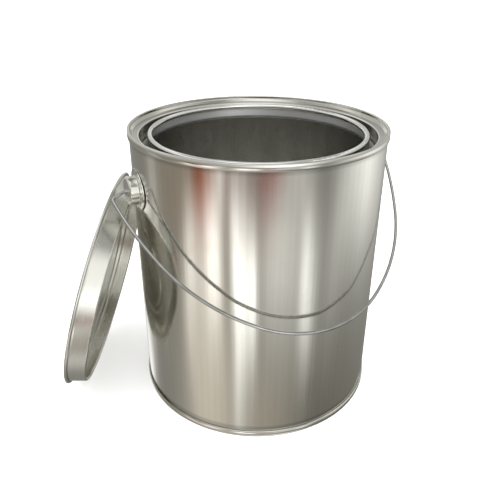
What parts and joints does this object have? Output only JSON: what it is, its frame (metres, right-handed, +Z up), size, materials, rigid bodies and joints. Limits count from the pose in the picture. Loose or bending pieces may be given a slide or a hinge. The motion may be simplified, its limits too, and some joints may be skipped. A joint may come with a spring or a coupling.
{
  "type": "paint can",
  "caption": "Round tinplate paint can with a friction ring mouth, a wire bail in pressed ears, and its loose plug lid leaning against the side.",
  "frame": {"origin": "on the can's axis at the level the can stands on", "axes": "+Z up along the can's axis, X through the two ears, the bail hangs towards -Y"},
  "size_m": [0.2527, 0.2157, 0.1922],
  "materials": {
    "tinplate_wall": "bright rolled tinplate",
    "tinplate_ends": "bright pressed tinplate",
    "tinned_ears": "bright pressed tinplate",
    "galvanised_wire": "bright drawn wire",
    "sealing_compound": "dull"
  },
  "bodies": {
    "can": {"body_shell": "tinplate_wall", "bottom_end": "tinplate_ends", "top_ring": "tinplate_ends", "top_seam_seal": "sealing_compound", "bottom_seam_seal": "sealing_compound", "ear_left": "tinned_ears", "ear_right": "tinned_ears"},
    "bail": {"bail": "galvanised_wire"},
    "lid": {"lid": "tinplate_ends"}
  },
  "joints": [
    {"name": "bail_swing", "type": "hinge", "parent": "can", "child": "bail", "pos_m": [0, 0, 0.1591], "axis": [-1, 0, 0], "range_deg": [-5, 220]},
    {"name": "lid_lift_off", "type": "slide", "parent": "can", "child": "lid", "axis": [-0.8628, 0.4246, 0.2745], "range_m": [0, 0.15]}
  ]
}
